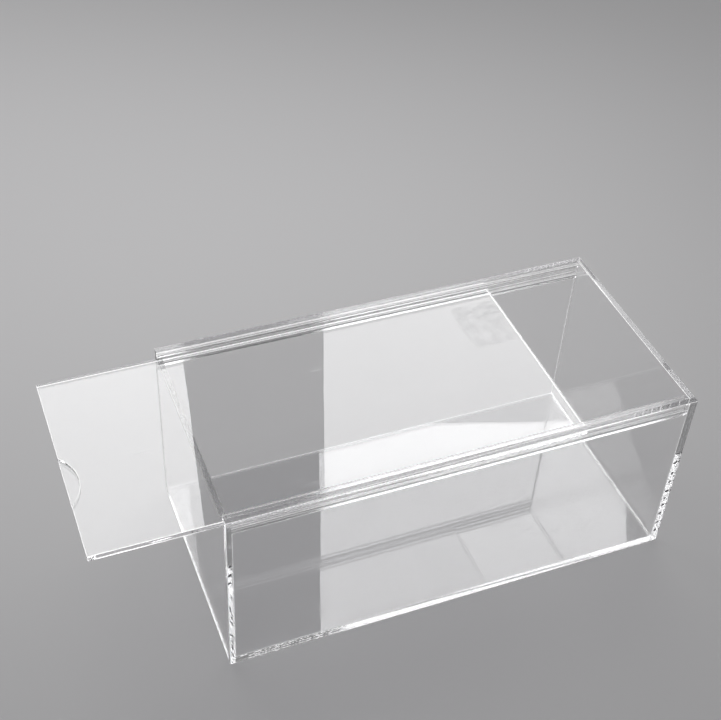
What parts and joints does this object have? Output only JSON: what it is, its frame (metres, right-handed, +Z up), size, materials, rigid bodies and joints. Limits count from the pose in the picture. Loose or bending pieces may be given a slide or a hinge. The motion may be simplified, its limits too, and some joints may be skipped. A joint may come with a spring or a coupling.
{
  "type": "acrylic display case",
  "caption": "Clear acrylic display case, a long box with a sliding lid that runs in cemented rails, passes over a lower end panel and has a thumb recess.",
  "frame": {"origin": "centre of the case's underside, midway between its outer faces", "axes": "+Z up, X along the lid's travel with the low end and the drawn-out lid at -X, +Y from the front wall to the back wall"},
  "size_m": [0.437, 0.176, 0.152],
  "materials": {
    "sheet": "clear cast acrylic sheet, polished faces",
    "strip": "clear acrylic strip, sawn and polished",
    "lid_sheet": "clear acrylic sheet, polished faces and eased edges"
  },
  "bodies": {
    "case": {"base_panel": "sheet", "front_wall": "sheet", "back_wall": "sheet", "fixed_end_panel": "sheet", "low_end_panel": "sheet", "front_lower_rail": "strip", "back_lower_rail": "strip", "front_upper_rail": "strip", "back_upper_rail": "strip"},
    "lid": {"lid": "lid_sheet"}
  },
  "joints": [
    {"name": "lid_slide", "type": "slide", "parent": "case", "child": "lid", "axis": [-1, 0, 0], "range_m": [-0.081, 0.268]}
  ]
}
